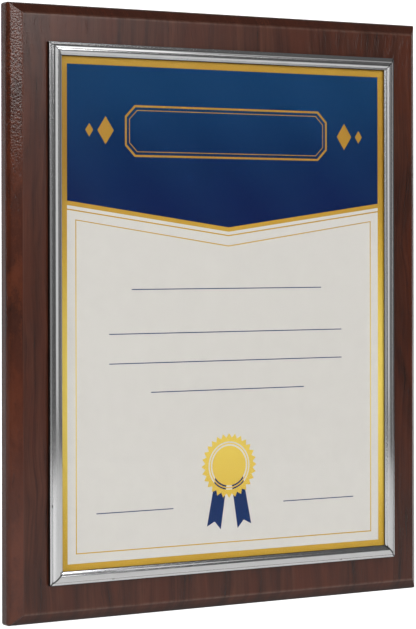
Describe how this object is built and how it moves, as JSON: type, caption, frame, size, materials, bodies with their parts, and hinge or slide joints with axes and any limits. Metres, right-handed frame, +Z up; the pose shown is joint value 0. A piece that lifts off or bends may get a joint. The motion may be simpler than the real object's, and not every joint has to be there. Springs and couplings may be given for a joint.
{
  "type": "certificate frame",
  "caption": "Upright wall plaque with a bevelled woodgrain board and a mitred silver frame; a sheet and its clear cover slide in through a slot under the top rail.",
  "frame": {"origin": "centre of the back face, where the plaque meets the wall", "axes": "+X to the viewer's right, +Y back into the wall, +Z up; the front faces -Y"},
  "size_m": [0.2666, 0.0178, 0.3302],
  "materials": {
    "woodgrain_film": "satin film printed and embossed with dark walnut grain",
    "fibreboard": "raw machined fibreboard",
    "black_paper": "matt black paper",
    "polished_aluminium": "polished bright drawn section",
    "zinc_plated_steel": "bright zinc plate",
    "grey_card": "plain grey card",
    "printed_paper": "cream paper with a blue and gold printed border",
    "clear_acrylic": "clear gloss sheet"
  },
  "bodies": {
    "plaque": {"woodgrain_wrap": "woodgrain_film", "board_core": "fibreboard", "back_sheet": "black_paper", "rail_top": "polished_aluminium", "rail_bottom": "polished_aluminium", "rail_left": "polished_aluminium", "rail_right": "polished_aluminium", "corner_key_top_left": "zinc_plated_steel", "corner_key_top_right": "zinc_plated_steel", "corner_key_bottom_left": "zinc_plated_steel", "corner_key_bottom_right": "zinc_plated_steel", "frame_screws": "zinc_plated_steel", "keyhole_plate_portrait": "zinc_plated_steel", "keyhole_plate_landscape": "zinc_plated_steel", "hanger_screws": "zinc_plated_steel"},
    "insert": {"backing_card": "grey_card", "certificate": "printed_paper"},
    "cover": {"clear_cover": "clear_acrylic"}
  },
  "joints": [
    {"name": "insert_slide", "type": "slide", "parent": "plaque", "child": "insert", "axis": [0, 0, 1], "range_m": [0, 0.285]},
    {"name": "cover_slide", "type": "slide", "parent": "plaque", "child": "cover", "axis": [0, 0, 1], "range_m": [0, 0.285]}
  ]
}
